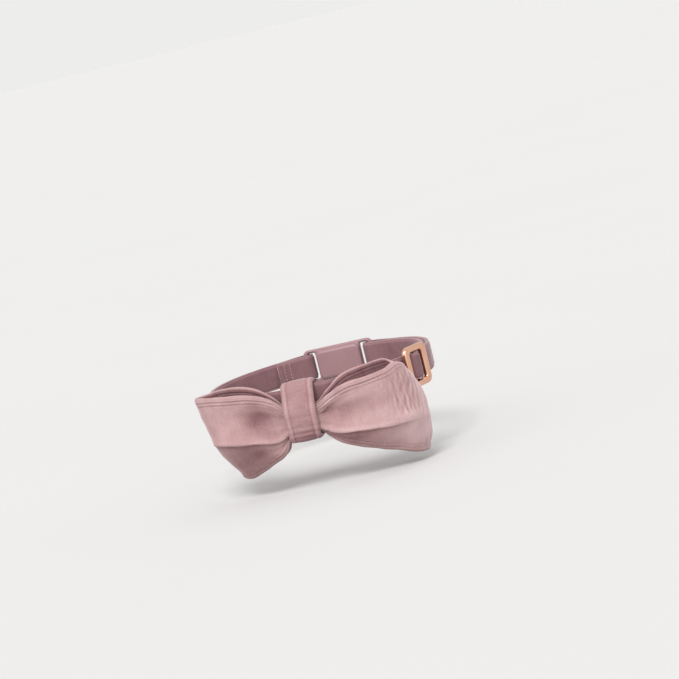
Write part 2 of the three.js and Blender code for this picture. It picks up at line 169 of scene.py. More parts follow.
# Reach of a lobe's outer fold at places across the cloth, from the lower edge (0) to the rim (1).
LEFT_FOLD = ((0.0, 34.0), (0.18, 38.0), (0.36, 41.0), (0.7, 44.0), (1.0, 46.2))
RIGHT_SECTIONS = (
    (0.00, 5.6, -2.4, -3.4, -1.5, 0.2, 0.2, 1.3, 0.3, 3.2, 0.0, 0.0),
    (0.14, 5.4, -3.0, -3.8, -1.2, 0.3, 0.8, 1.4, 0.5, 3.4, 0.4, 0.3),
    (0.26, 8.0, -5.6, -9.2, 0.4, 1.0, 2.4, 0.9, 1.6, 5.0, 1.4, 0.8),
    (0.42, 10.7, -6.6, -12.6, 1.8, 1.7, 2.4, 0.3, 3.2, 6.9, 2.6, 0.8),
    (0.60, 11.4, -7.4, -16.2, 2.4, 1.9, 1.6, 0.0, 4.6, 8.3, 3.2, 0.6),
    (0.80, 12.4, -7.9, -19.6, 1.8, 1.1, 0.6, -0.4, 4.4, 8.8, 2.6, 0.15),
    (0.90, 13.4, -8.3, -21.0, 1.2, 0.6, 0.3, -0.4, 3.8, 8.4, 1.4, 0.05),
    (1.00, 11.4, -8.6, -21.6, 0.6, 0.2, 0.0, 0.0, 3.2, 7.8, 0.0, 0.0),
)
RIGHT_FOLD = ((0.0, 47.0), (0.18, 48.8), (0.36, 49.2), (0.7, 47.8), (1.0, 42.4))

# The knot band's side outline: forward, height and corner softness.
KNOT_CORNERS = (
    (50.9, -13.7, 1.8), (50.9, -3.4, 2.6), (45.2, 6.5, 2.0),
    (40.4, 6.5, 1.7), (40.4, -6.4, 2.4), (43.3, -13.7, 1.8),
)

# Dents and painted marks of the front: lobe, share, across, their two spreads, depth, darkness (painted shade
# where positive, painted highlight where negative).
SHADE_AND_HIGHLIGHT_PATCHES = (
    (-1, 0.41, 0.63, 0.11, 0.17, 1.0, 0.90),
    (-1, 0.30, 0.75, 0.10, 0.10, 0.5, 0.60),
    (-1, 0.30, 0.45, 0.10, 0.08, 0.0, 0.32),
    (-1, 0.50, 0.19, 0.14, 0.10, 0.4, 0.44),
    (-1, 0.78, 0.14, 0.20, 0.12, 0.0, 0.28),
    (-1, 0.26, 0.20, 0.10, 0.20, 0.0, -0.42),
    (-1, 0.55, 0.86, 0.30, 0.10, 0.0, -0.25),
    (-1, 0.80, 0.62, 0.20, 0.20, 0.0, -0.15),
    (-1, 0.99, 0.62, 0.05, 0.30, 0.0, -0.60),
    (1, 0.24, 0.75, 0.07, 0.09, 0.9, 0.12),
    (1, 0.24, 0.93, 0.10, 0.06, 0.0, -0.50),
    (1, 0.35, 0.62, 0.10, 0.15, 0.6, 0.38),
    (1, 0.34, 0.17, 0.15, 0.15, 0.15, 0.72),
    (1, 0.44, 0.30, 0.13, 0.08, 0.0, 0.25),
    (1, 0.58, 0.50, 0.22, 0.12, -0.2, -0.25),
    (1, 0.84, 0.41, 0.15, 0.07, -0.2, -0.75),
    (1, 0.55, 0.86, 0.26, 0.10, 0.0, -0.35),
    (1, 0.78, 0.70, 0.24, 0.26, 0.0, -0.08),
    (1, 0.84, 0.20, 0.20, 0.18, 0.0, -1.15),
    (1, 1.00, 0.55, 0.08, 0.60, 0.0, -1.40),
)
# Fine creases of the knot band's front: place down the face, height, width, slant, all in millimetres.
KNOT_WRINKLES = (
    (2.6, -0.07, 0.80, 0.9), (4.4, 0.07, 0.90, -0.8), (6.4, -0.09, 0.60, 0.6), (7.6, 0.09, 0.50, -0.3),
    (8.6, -0.12, 0.45, 0.5), (9.5, 0.13, 0.40, -0.4), (10.3, -0.13, 0.35, 0.3),
)


def smooth_column(keys, values, at):
    """A smooth curve through one column of a table, sampled at the places given."""
    keys, values = np.asarray(keys, float), np.asarray(values, float)
    slopes = np.zeros_like(values)
    slopes[1:-1] = (values[2:] - values[:-2]) / (keys[2:] - keys[:-2])
    slopes[-1] = (values[-1] - values[-2]) / (keys[-1] - keys[-2])
    at = np.clip(at, keys[0], keys[-1])
    i = np.clip(np.searchsorted(keys, at, side="right") - 1, 0, len(keys) - 2)
    span = keys[i + 1] - keys[i]
    x = (at - keys[i]) / span
    return ((2 * x**3 - 3 * x**2 + 1) * values[i] + (x**3 - 2 * x**2 + x) * span * slopes[i]
            + (3 * x**2 - 2 * x**3) * values[i + 1] + (x**3 - x**2) * span * slopes[i + 1])


def ease(x):
    """A smooth step from 0 to 1."""
    x = np.clip(x, 0.0, 1.0)
    return x * x * (3 - 2 * x)


def bell(x, middle, width):
    """A smooth rise to 1 at its middle."""
    return np.exp(-(((x - middle) / width) ** 2))


def hem_relief(distance, along):
    """Two rolled beads beside a cloth edge, with a row of stitches sunk under each; both distances in mm."""
    beads = 0.16 * np.sin(np.pi * np.clip(distance / BEAD_WIDTH, 0, 1)) ** 2
    beads += 0.12 * np.sin(np.pi * np.clip((distance - SECOND_BEAD) / BEAD_WIDTH, 0, 1)) ** 2
    grooves = 0.36 * bell(distance, FIRST_GROOVE, 0.18) + 0.30 * bell(distance, SECOND_GROOVE, 0.2)
    return beads - grooves * (0.72 + 0.28 * np.cos(2 * np.pi * along / STITCH_PITCH))


def strip_distance(grid):
    """Distance along each strip from its first point, in mm."""
    steps = np.linalg.norm(np.diff(grid, axis=1), axis=2)
    return np.concatenate([np.zeros((len(grid), 1)), np.cumsum(steps, axis=1)], axis=1)


def wall_normals(grid):
    """Unit normals of a grid that closes on itself along its first axis."""
    along = np.roll(grid, -1, axis=0) - np.roll(grid, 1, axis=0)
    over = np.gradient(grid, axis=1)
    normal = np.cross(along, over)
    return normal / np.linalg.norm(normal, axis=2, keepdims=True)


def closed_wall(name, grid, outer_relief, inner_relief, thickness, values, rim_steps=6):
    """A cloth wall that closes on itself: both faces of a grid of middle points, with rounded rims.

    values are per-point numbers of the outer and inner face, kept as a mesh attribute that carries painted
    shade and painted highlight along with the nap's own tone.
    """
    normal = wall_normals(grid)
    outer = grid + normal * (thickness / 2 + outer_relief)[..., None]
    inner = grid - normal * (thickness / 2 + inner_relief)[..., None]
    turns = np.linspace(0, np.pi, rim_steps + 1)[1:-1]

    def rim(face, other, edge, beside):
        middle, half = (face[:, edge] + other[:, edge]) / 2, (face[:, edge] - other[:, edge]) / 2
        away = grid[:, edge] - grid[:, beside]
        away *= (np.linalg.norm(half, axis=1) / np.linalg.norm(away, axis=1))[:, None] * 0.9
        return np.stack([middle + half * math.cos(a) + away * math.sin(a) for a in turns], axis=1)

    ring = np.concatenate(
        [outer, rim(outer, inner, -1, -2), inner[:, ::-1], rim(inner, outer, 0, 1)], axis=1)
    nap_and_painted_shading = np.concatenate([
        values[0], np.repeat(values[0][:, -1:], len(turns), axis=1),
        values[1][:, ::-1], np.repeat(values[1][:, :1], len(turns), axis=1)], axis=1)
    count, size = ring.shape[:2]
    i, k = np.meshgrid(np.arange(count), np.arange(size), indexing="ij")
    i2, k2 = (i + 1) % count, (k + 1) % size
    quads = np.stack([i * size + k, i2 * size + k, i2 * size + k2, i * size + k2], axis=2).reshape(-1, 4)
    mesh = bpy.data.meshes.new(name)
    mesh.from_pydata(ring.reshape(-1, 3) * MM, [], quads.tolist())
    uv = np.stack([
        np.stack([i / count, k / size], axis=2), np.stack([(i + 1) / count, k / size], axis=2),
        np.stack([(i + 1) / count, (k + 1) / size], axis=2), np.stack([i / count, (k + 1) / size], axis=2),
    ], axis=2).reshape(-1, 2)
    mesh.uv_layers.new(name="cloth").data.foreach_set("uv", uv.ravel())
    mesh.attributes.new("nap_and_painted_shading", "FLOAT", "POINT").data.foreach_set("value", nap_and_painted_shading.ravel())
    return placed(name, mesh)


def placed(name, mesh):
    """A smooth-shaded object of the mesh, in the scene."""
    mesh.polygons.foreach_set("use_smooth", np.ones(len(mesh.polygons), bool))
    mesh.update()
    piece = bpy.data.objects.new(name, mesh)
    scene.collection.objects.link(piece)
    return piece


# The bow


def lobe_points(side, sections, fold, share, back, across):
    """Middle points of one lobe: stations (share, back) by places across the cloth."""
    table = dict(zip(COLUMNS, np.array(sections).T))
    at = {c: smooth_column(table["share"], table[c], share)[:, None] for c in COLUMNS[1:]}
    fold = np.array(fold).T
    below = across < CREASE_ACROSS
    x = np.where(below, across / CREASE_ACROSS, (across - CREASE_ACROSS) / (1 - CREASE_ACROSS))[None, :]
    hollow = at["dent"] * np.sin(np.pi * x**0.8)
    front_out = np.where(
        below[None, :],
        -at["tuck"] + (at["ridge"] + at["tuck"]) * x * (1.3 - 0.3 * x),
        at["ridge"] + (-at["lean"] - at["ridge"]) * x - hollow)
    front_height = np.where(
        below[None, :],
        at["bottom"] + (at["crease"] - at["bottom"]) * x,
        at["crease"] + (at["top"] - at["crease"]) * x)
    t = across[None, :]
    back_out = -at["depth"] - 0.8 * at["tuck"] * (1 - t) ** 2
    low, high = at["bottom"] + 0.6, at["top"] + at["rise"]
    back_height = low + (high - low) * t
    b = back[:, None]
    height = BOW_HEIGHT + front_height + (back_height - front_height) * b
    radius = BOW_BEND + at["out"] + front_out + (back_out - front_out) * b
    reach = smooth_column(fold[0], fold[1], across)[None, :]
    s = share[:, None]
    run = np.where(s < KNOT_SHARE, KNOT_REACH * s / KNOT_SHARE,
                   KNOT_REACH + (reach - KNOT_REACH) * (s - KNOT_SHARE) / (1 - KNOT_SHARE))
    bend = side * run / BOW_BEND
    points = np.stack([radius * np.sin(bend), BOW_BEND - BOW_FRONT - radius * np.cos(bend), height], axis=2)
    return points, np.broadcast_to(run, height.shape), np.broadcast_to(at["lip"], height.shape)


def lobe_stations(front_steps=124, fold_steps=104, back_steps=52):
    """Stations round one lobe, along the front, round the outer fold and along the back: share and back."""
    turn = np.pi * np.arange(fold_steps) / fold_steps
    share = np.concatenate([
        FOLD_START * np.arange(front_steps) / front_steps,
        FOLD_START + (1 - FOLD_START) * np.sin(turn),
        FOLD_START * (1 - np.arange(back_steps + 1) / back_steps)])
    back = np.concatenate([np.zeros(front_steps), (1 - np.cos(turn)) / 2, np.ones(back_steps + 1)])
    return share, back


def across_places(low_steps=30, high_steps=46):
    """Places across the cloth, closer together at both edges and at the crease."""
    low = CREASE_ACROSS * (1 - np.cos(np.pi * np.arange(low_steps) / low_steps)) / 2
    high = (1 - CREASE_ACROSS) * (1 - np.cos(np.pi * np.arange(high_steps + 1) / high_steps)) / 2
    return np.concatenate([low, CREASE_ACROSS + high])


def crush_waves(run, height):
    """Irregular waves of crushed pile: a sum of random ripples."""
    waves = np.zeros_like(height)
    for _ in range(CRUSH_WAVES):
        along = rng.uniform(*CRUSH_ALONG)
        up = rng.uniform(*CRUSH_UP)
        phase = rng.uniform(0, 2 * np.pi)
        waves += np.sin(along * run + up * height + phase)
    return waves / math.sqrt(CRUSH_WAVES / 2)


def make_bow():
    """One closed band of velvet: along the right lobe, back under the knot and along the left lobe."""
    share, back = lobe_stations()
    across = across_places()
    right = lobe_points(1, RIGHT_SECTIONS, RIGHT_FOLD, share, back, across)
    left = lobe_points(-1, LEFT_SECTIONS, LEFT_FOLD, share, back, across)
    grid, run, lip = (np.concatenate([r, l[1:-1][::-1]]) for r, l in zip(right, left))
    shares = np.concatenate([share, share[1:-1][::-1]])[:, None]
    backs = np.concatenate([back, back[1:-1][::-1]])[:, None]
    sides = np.concatenate([np.ones(len(share)), -np.ones(len(share) - 2)])[:, None]
    t = across[None, :]
    for _ in range(3):
        grid[:, 1:-1] = (grid[:, :-2] + 2 * grid[:, 1:-1] + grid[:, 2:]) / 4

    # Distances across the cloth from both edges
    from_low = strip_distance(grid)
    from_rim = from_low[:, -1:] - from_low
    hems = hem_relief(from_rim, run) + hem_relief(from_low, run)
    front = 1 - backs
    open_cloth = ease((run - OPEN_FROM) / OPEN_OVER)
    past_knot = np.clip(run - KNOT_REACH, 0, None)

    # Distances below and above the crease, the step under it, the tuck by the knot, pleats and soft waves
    under = np.where(t < CREASE_ACROSS, CREASE_ACROSS - t, 0.0) * from_low[:, -1:]
    above = np.where(t > CREASE_ACROSS, t - CREASE_ACROSS, 0.0) * from_low[:, -1:]
    step = 1.25 * front * lip * ease(under / 0.6) * np.exp(-np.clip(under - 0.6, 0, None) / 4.0)
    tuck = front * open_cloth * np.exp(-past_knot / 4.5) * bell(from_rim, 4.2, 1.0)
    gather = open_cloth * np.exp(-past_knot / 7.0)
    pleats = 0.30 * np.cos(2 * np.pi * 3.6 * t + 0.7 * sides) + 0.18 * np.cos(2 * np.pi * 7.3 * t + 1.9)
    x, z = grid[..., 0], grid[..., 2]
    waves = (0.16 * np.sin(0.31 * x + 0.22 * z + 0.6) + 0.12 * np.sin(0.17 * x - 0.41 * z + 2.1)
             + 0.07 * np.sin(0.83 * x + 0.35 * z) + 0.05 * np.sin(0.45 * x - 1.07 * z + 1.3))

    # Crushed pile towards the right end, on the flap only beside the fold
    crushed = np.where(sides > 0, ease((shares - 0.58) / 0.26), 0.0) * ease((from_rim - 2.6) / 2)
    crushed = crushed * np.where(t < CREASE_ACROSS + 0.06, ease((shares - 0.86) / 0.1), 1.0)
    crush = crush_waves(run, z)
    outer = hems * open_cloth - step - 0.7 * tuck + gather * pleats + open_cloth * waves
    outer += 0.03 * crushed * crush
    inner = hems * open_cloth

    # Painted shade and painted highlight, with the crushed pile's own tone: the hollow by the knot, the tuck,
    # patches, the crease, the lower flap and the hems
    hollow = np.where(sides > 0, front * open_cloth * (1 - ease((run - 10.0) / 8.0)), 0.0)
    hollow = hollow * ease((from_rim - 2.7) / 0.6) * np.exp(-np.clip(from_rim - 3.4, 0, None) / 2.6)
    # Painted shade in the tuck and the hollow by the knot, plus the crushed pile's own tone
    nap_and_painted_shading = 0.20 * tuck + 0.62 * hollow - 0.20 * crushed * crush
    # Patches of painted shade and painted highlight
    for side, s0, t0, ds, dt, deep, dark in SHADE_AND_HIGHLIGHT_PATCHES:
        spread = np.where(sides == side, bell(shares, s0, ds) * bell(t, t0, dt), 0.0)
        spread = spread * np.where(s0 > 0.95, 1.0, front)
        spread = np.where((t0 < CREASE_ACROSS) & (t >= CREASE_ACROSS), 0.0, spread)
        nap_and_painted_shading += dark * spread
        outer -= deep * spread
    # A painted highlight along the crease's upper edge and painted shade just under the crease
    lit_edge = np.where(sides > 0, 0.42, 0.12) * bell(above, 0.0, 0.9)
    nap_and_painted_shading += front * lip * (0.40 * ease(under / 0.3) * np.exp(-under / 1.0) - lit_edge)
    # Painted shade over the lower flap
    nap_and_painted_shading += np.where(sides > 0, 0.32, 0.40) * front * ease((CREASE_ACROSS - t) / 0.02)
    # Painted highlights on the hem beads and painted shade in the stitch grooves
    nap_and_painted_shading -= 0.22 * (bell(from_rim, 0.6, 0.5) + 0.8 * bell(from_rim, 1.8, 0.45))
    nap_and_painted_shading += 0.55 * bell(from_rim, FIRST_GROOVE, 0.16) + 0.4 * bell(from_rim, SECOND_GROOVE, 0.2)
    # The inner face is given a dark value all over: painted shade inside the loops
    return closed_wall("bow", grid, outer, inner, CLOTH, (nap_and_painted_shading, np.full_like(nap_and_painted_shading, 0.85)))


# The knot band


def knot_outline(steps):
    """Evenly spaced points of the band's side outline, with every corner rounded."""
    corners = np.array([c[:2] for c in KNOT_CORNERS])
    fine = []
    for i, (forward, height, soft) in enumerate(KNOT_CORNERS):
        at = np.array([forward, height])
        before, after = corners[i - 1] - at, corners[(i + 1) % len(corners)] - at
        start = at + before * soft / np.linalg.norm(before)
        end = at + after * soft / np.linalg.norm(after)
        q = np.linspace(0, 1, 24)[:, None]
        fine.append((1 - q) ** 2 * start + 2 * q * (1 - q) * at + q**2 * end)
    fine = np.concatenate(fine + [fine[0][:1]])
    length = np.concatenate([[0], np.cumsum(np.linalg.norm(np.diff(fine, axis=0), axis=1))])
    even = np.linspace(0, length[-1], steps, endpoint=False)
    return np.stack([np.interp(even, length, fine[:, 0]), np.interp(even, length, fine[:, 1])], axis=1)


def make_knot(steps=260, across_steps=56):
    """The band round the bow's middle, with folded sides and fine creases on its face."""
    outline = knot_outline(steps)[::-1]
    centre = outline.mean(axis=0)
    outward = (outline - centre) / np.linalg.norm(outline - centre, axis=1)[:, None]
    fall = (outline[:, 1].max() - outline[:, 1]) / np.ptp(outline[:, 1])
    width = (KNOT_WIDTH - KNOT_WAIST * fall)[:, None]
    x = (1 - np.cos(np.pi * np.arange(across_steps + 1) / across_steps))[None, :] / 2 - 0.5
    swell = KNOT_CROWN * (1 - 4 * x * x)
    grid = np.stack([
        x * width,
        -outline[:, :1] - outward[:, :1] * swell,
        outline[:, 1:] + outward[:, 1:] * swell], axis=2)
    from_edge = (0.5 - np.abs(x)) * width
    front = ease((outline[:, 0] - KNOT_FACE) / 1.6)[:, None]
    down = KNOT_FACE_TOP - grid[..., 2]
    wrinkles = np.zeros_like(from_edge)
    for place, height, breadth, slant in KNOT_WRINKLES:
        wrinkles += height * bell(down - slant * x, place, breadth)
    folded = 0.07 * bell(from_edge, 0.75, 0.55) - 0.14 * bell(from_edge, 1.7, 0.26)
    ribs = 0.05 * np.sin(2 * np.pi * x * 5.0 + 0.4) * front
    outer = folded + front * wrinkles * ease((from_edge - 0.8) / 1.2) + ribs
    # Painted highlight on the folded edge and painted shade in the groove beside it
    nap_and_painted_shading = 0.34 - 0.36 * bell(from_edge, 0.7, 0.55) + 0.25 * bell(from_edge, 1.7, 0.25)
    # Painted shade and painted highlight following the creases, and painted shade lower on the face
    nap_and_painted_shading = nap_and_painted_shading - 1.2 * front * wrinkles + 0.42 * front * ease((down - 6.5) / 3)
    return closed_wall("knot", grid, outer, np.zeros_like(outer), KNOT_CLOTH, (nap_and_painted_shading, np.full_like(nap_and_painted_shading, 0.3)))


# The strap


def on_neck(angle, radius):
    """The place at an angle round the neck, in degrees from the front towards +X."""
    return np.stack([radius * np.sin(np.radians(angle)), -radius * np.cos(np.radians(angle))], axis=-1)


def angle_of(point):
    return math.degrees(math.atan2(point[0], -point[1]))


def strap_middle(step=0.5):
    """The strap's middle line: sewn tail, clasp bar, round the neck through the slide, other bar and back."""
    bar = np.array([(CLASP_LENGTH - CLASP_BAR) / 2, CLASP_RADIUS])
    outer_start, inner_start = bar + (0, CLASP_TURN), bar - (0, CLASP_TURN)
    outer_end, inner_end = angle_of(outer_start), angle_of(inner_start)

    def outer_layer(angle):
        """The layer round the neck, which climbs over the centre bar and out to the clasp bars."""
        from_slide = np.abs(np.radians(angle - SLIDER_ANGLE)) * NECK_RADIUS
        hump = STRAP_HUMP * np.cos(np.pi / 2 * np.clip(from_slide / STRAP_HUMP_HALF, 0, 1)) ** 2
        rise = 1 - ease((outer_end - np.abs(angle)) / CLASP_EASE)
        return on_neck(angle, NECK_RADIUS + hump + rise * (np.linalg.norm(outer_start) - NECK_RADIUS))

    def inner_layer(angle):
        """The doubled-back layer, whose end lifts towards the slide's centre bar."""
        radius, start = NECK_RADIUS - LAYER_PITCH, np.linalg.norm(inner_start)
        lift = np.clip((SLIDER_ANGLE + 6 - angle) / 5, 0, 1) ** 2 * 1.2
        return on_neck(angle, start + (radius - start) * ease((inner_end - angle) / CLASP_EASE) + lift)

    half_turn = np.radians(np.linspace(90, 270, 40))
    turn = bar + CLASP_TURN * np.stack([np.cos(half_turn), np.sin(half_turn)], axis=1)
    mirror = np.array([-1, 1])
    tail = inner_layer(np.arange(inner_end - SEWN_TAIL, inner_end, step)) * mirror
    round_neck = outer_layer(np.arange(-outer_end + step, outer_end, step))
    doubled = inner_layer(np.arange(inner_end - step, SLIDER_ANGLE + STRAP_END, -step))
    path = np.concatenate([tail, (turn * mirror)[::-1], round_neck, turn, doubled])
    length = np.concatenate([[0], np.cumsum(np.linalg.norm(np.diff(path, axis=0), axis=1))])
    even = np.linspace(0, length[-1], int(length[-1] / RIBBON_STATION))
    path = np.stack([np.interp(even, length, path[:, 0]), np.interp(even, length, path[:, 1])], axis=1)
    for _ in range(6):
        path[1:-1] = (path[:-2] + 2 * path[1:-1] + path[2:]) / 4
    return path


def strap_length():
    """Length of the ribbon before it was looped and sewn, in metres."""
    return float(np.linalg.norm(np.diff(strap_middle(), axis=0), axis=1).sum()) * MM


def strap_section():
    """Closed outline of the ribbon: thick velvet in the middle, a thinner woven edge on both sides."""
    z = np.concatenate([
        np.linspace(-RIBBON_SIDE, -RIBBON_EDGE, 8),
        np.linspace(-RIBBON_PILE, RIBBON_PILE, 17),
        np.linspace(RIBBON_EDGE, RIBBON_SIDE, 8)])
    pile = STRAP_THICKNESS / 2 - RIBBON_EDGE_HALF
    half = RIBBON_EDGE_HALF + pile * ease((4.35 - np.abs(z)) / 0.5)
    upper = np.stack([half, z], axis=1)
    cap = np.radians(np.linspace(0, 180, 9)[1:-1])
    top = np.stack([half[-1] * np.cos(cap), RIBBON_SIDE + RIBBON_ROUND * np.sin(cap)], axis=1)
    section = np.concatenate([upper, top])
    return np.concatenate([section, -section])


def make_strap():
    """The ribbon: its section swept along the middle line, slightly thinner at both sealed ends."""
    path = strap_middle()
    along = np.gradient(path, axis=0)
    along /= np.linalg.norm(along, axis=1)[:, None]
    normal = np.stack([along[:, 1], -along[:, 0]], axis=1)
    section = strap_section()
    count, size = len(path), len(section)
    ring = np.empty((count, size, 3))
    from_end = RIBBON_STATION * np.minimum(np.arange(count), np.arange(count)[::-1])
    sealed = 0.6 + 0.4 * ease(from_end / 1.0)
    ring[..., :2] = path[:, None] + normal[:, None] * (section[None, :, :1] * sealed[:, None, None])
    ring[..., 2] = section[None, :, 1]
    i, k = np.meshgrid(np.arange(count - 1), np.arange(size), indexing="ij")
    k2 = (k + 1) % size
    low, high = i * size, (i + 1) * size
    quads = np.stack([low + k, high + k, high + k2, low + k2], axis=2).reshape(-1, 4)
    ends = [list(range(size)), [(count - 1) * size + j for j in range(size)][::-1]]
    mesh = bpy.data.meshes.new("strap")
    mesh.from_pydata(ring.reshape(-1, 3) * MM, [], quads.tolist() + ends)
    uv = np.stack([
        np.stack([i, k], axis=2), np.stack([i + 1, k], axis=2),
        np.stack([i + 1, k + 1], axis=2), np.stack([i, k + 1], axis=2)], axis=2).reshape(-1, 2)
    uv = np.concatenate([uv / (count, size), np.zeros((2 * size, 2))])
    mesh.uv_layers.new(name="cloth").data.foreach_set("uv", uv.ravel())
    edge = ease((np.abs(section[:, 1]) - 4.0) / 0.4)
    nap_and_painted_shading = np.tile(0.35 - 0.5 * edge, count)
    mesh.attributes.new("nap_and_painted_shading", "FLOAT", "POINT").data.foreach_set("value", nap_and_painted_shading)
    return placed("strap_ribbon", mesh)


def make_stitches(angles=(-151.0, -147.5), per_row=6, spacing=1.35, length=1.15, thread=0.24):
    """Rows of thread that hold the sewn tail: small capsules half sunk in the strap's two outer faces."""
    path = strap_middle()
    angle = np.degrees(np.arctan2(path[:, 0], -path[:, 1]))
    radius = np.linalg.norm(path, axis=1)
    rings, sides = 7, 8
    rise = np.linspace(-1, 1, rings)
    girth = thread * np.sqrt(np.clip(1 - rise**6, 0.02, 1))
    turn = 2 * np.pi * np.arange(sides) / sides
    points, faces = [], []
    for place in angles:
        layer = radius[np.abs(angle - place) < 0.7]
        for level in (layer.max() + STRAP_THICKNESS / 2, layer.min() - STRAP_THICKNESS / 2):
            for z in spacing * (np.arange(per_row) - (per_row - 1) / 2):
                first = len(points)
                for r, g in zip(rise, girth):
                    for a in turn:
                        beside = place + math.degrees(g * math.cos(a) / level)
                        x, y = on_neck(beside, level + g * math.sin(a) * 0.8)
                        points.append((x, y, z + r * length / 2))
                for i in range(rings - 1):
                    for k in range(sides):
                        k2 = (k + 1) % sides
                        low, high = first + i * sides, first + (i + 1) * sides
                        faces.append((low + k, high + k, high + k2, low + k2))
                faces.append(tuple(first + k for k in range(sides)))
                faces.append(tuple(first + (rings - 1) * sides + k for k in range(sides))[::-1])
    mesh = bpy.data.meshes.new("stitches")
    mesh.from_pydata(np.array(points) * MM, [], faces)
    return placed("strap_stitches", mesh)


# The slide and the clasp


def rounded_rectangle(x, width, height, corner, steps=10):
    """Outline of a rectangle centred at x, with rounded corners."""
    points = []
    for sx, sy, start in ((1, -1, -90), (1, 1, 0), (-1, 1, 90), (-1, -1, 180)):
        turn = np.radians(np.linspace(start, start + 90, steps))
        points.append(np.stack([
            x + sx * (width / 2 - corner) + corner * np.cos(turn),
            sy * (height / 2 - corner) + corner * np.sin(turn)], axis=1))
    return np.concatenate(points)


def plate(name, outlines, thickness, edge):
    """A flat solid of the given outline and holes, with rounded edges, on its own middle plane."""
    curve = bpy.data.curves.new(name, "CURVE")
    curve.dimensions = "2D"
    curve.fill_mode = "BOTH"
    for outline in outlines:
        spline = curve.splines.new("POLY")
        spline.points.add(len(outline) - 1)
        flat = np.c_[outline * MM, np.zeros(len(outline)), np.ones(len(outline))]
        spline.points.foreach_set("co", flat.ravel())
        spline.use_cyclic_u = True
    curve.extrude = (thickness / 2 - edge) * MM
    curve.bevel_depth = edge * MM
    curve.bevel_resolution = 5
    curve.offset = -edge * MM
    holder = bpy.data.objects.new(name, curve)
    scene.collection.objects.link(holder)
    mesh = bpy.data.meshes.new_from_object(holder.evaluated_get(bpy.context.evaluated_depsgraph_get()))
    bpy.data.objects.remove(holder)
    clean(mesh)
    return placed(name, mesh)


def clean(mesh):
    """Welds points that coincide and faces every side of a closed mesh outward."""
    work = bmesh.new()
    work.from_mesh(mesh)
    bmesh.ops.remove_doubles(work, verts=work.verts, dist=1e-6)
    bmesh.ops.triangulate(work, faces=work.faces)
    bmesh.ops.dissolve_degenerate(work, dist=2e-6, edges=work.edges)
    bmesh.ops.recalc_face_normals(work, faces=work.faces)
    work.to_mesh(mesh)
    work.free()


def joined(name, first, second):
    """Both solids as one."""
    union = first.modifiers.new("join", "BOOLEAN")
    union.operation = "UNION"
    union.object = second
    union.solver = "MANIFOLD"
    mesh = bpy.data.meshes.new_from_object(first.evaluated_get(bpy.context.evaluated_depsgraph_get()))
    for old in (first, second):
        bpy.data.objects.remove(old)
    clean(mesh)
    return placed(name, mesh)


def stand_on_strap(piece, angle, radius):
    """Turns a flat piece so that its own +Z points away from the neck, and sets it on the strap."""
    turn = Matrix.Rotation(math.radians(angle), 4, "Z")
    stand = Matrix.Rotation(math.pi / 2, 4, "X")
    piece.data.transform(turn @ Matrix.Translation((0, -radius * MM, 0)) @ stand)
    piece.data.update()


def make_slider():
    """The slide: a rounded frame with a thin bar across the middle of its window."""
    window = rounded_rectangle(0, SLIDER_LENGTH - 2 * SLIDER_BAR, SLIDER_HEIGHT - 2 * SLIDER_RAIL,
                               SLIDER_WINDOW_CORNER)
    outline = rounded_rectangle(0, SLIDER_LENGTH, SLIDER_HEIGHT, SLIDER_CORNER)
    body = plate("slide_frame", [outline, window], 2 * SLIDER_ROUND, SLIDER_ROUND - 0.02)
    body.data.transform(Matrix.Diagonal((1, 1, SLIDER_THICKNESS / (2 * SLIDER_ROUND), 1)))
    rod = rounded_rectangle(0, CENTRE_BAR_WIDTH, SLIDER_HEIGHT - SLIDER_RAIL, CENTRE_BAR_CORNER)
    bar = plate("slide_rod", [rod], CENTRE_BAR_THICKNESS, CENTRE_BAR_EDGE)
    bar.data.transform(Matrix.Translation((0, 0, (CENTRE_BAR_LIFT - SLIDER_LIFT) * MM)))
    piece = joined("slide", body, bar)
    stand_on_strap(piece, SLIDER_ANGLE, NECK_RADIUS + SLIDER_LIFT)
    return piece


def make_clasp():
    """The closed clasp: a plate with a slot at each end, thicker over its middle."""
    slot_at = CLASP_LENGTH / 2 - CLASP_BAR - CLASP_SLOT / 2
    slots = [rounded_rectangle(side * slot_at, CLASP_SLOT, CLASP_SLOT_HEIGHT, CLASP_SLOT_CORNER)
             for side in (-1, 1)]
    outline = rounded_rectangle(0, CLASP_LENGTH, CLASP_HEIGHT, CLASP_CORNER)
    body_length = CLASP_LENGTH - 2 * (CLASP_BAR + CLASP_SLOT) - CLASP_BODY_GAP
    body_outline = rounded_rectangle(0, body_length, CLASP_HEIGHT - CLASP_BODY_INSET, CLASP_CORNER)
    base = plate("clasp_plate", [outline, *slots], CLASP_PLATE, CLASP_EDGE)
    body = plate("clasp_body", [body_outline], CLASP_BODY_THICKNESS, CLASP_BODY_EDGE)
    piece = joined("clasp_closed", base, body)
    stand_on_strap(piece, 180, CLASP_RADIUS)
    return piece


# Materials


def node_material(name):
    material = bpy.data.materials.new(name)
    material.use_nodes = True
    tree = material.node_tree
    tree.nodes.clear()
    shader = tree.nodes.new("ShaderNodeBsdfPrincipled")
    output = tree.nodes.new("ShaderNodeOutputMaterial")
    tree.links.new(shader.outputs["BSDF"], output.inputs["Surface"])
    return material, tree, shader


def add(tree, kind, links=(), **settings):
    """A node with its settings; links are (input, source socket) pairs."""
    node = tree.nodes.new(kind)
    for key, value in settings.items():
        if key in node.inputs:
            node.inputs[key].default_value = value
        else:
            setattr(node, key, value)
    for target, source in links:
        tree.links.new(source, node.inputs[target])
    return node


def noise(tree, vector, scale, detail=3.0, roughness=0.55):
    node = add(tree, "ShaderNodeTexNoise", [("Vector", vector)])
    node.inputs["Scale"].default_value = scale
    node.inputs["Detail"].default_value = detail
    node.inputs["Roughness"].default_value = roughness
    return node.outputs["Fac"]


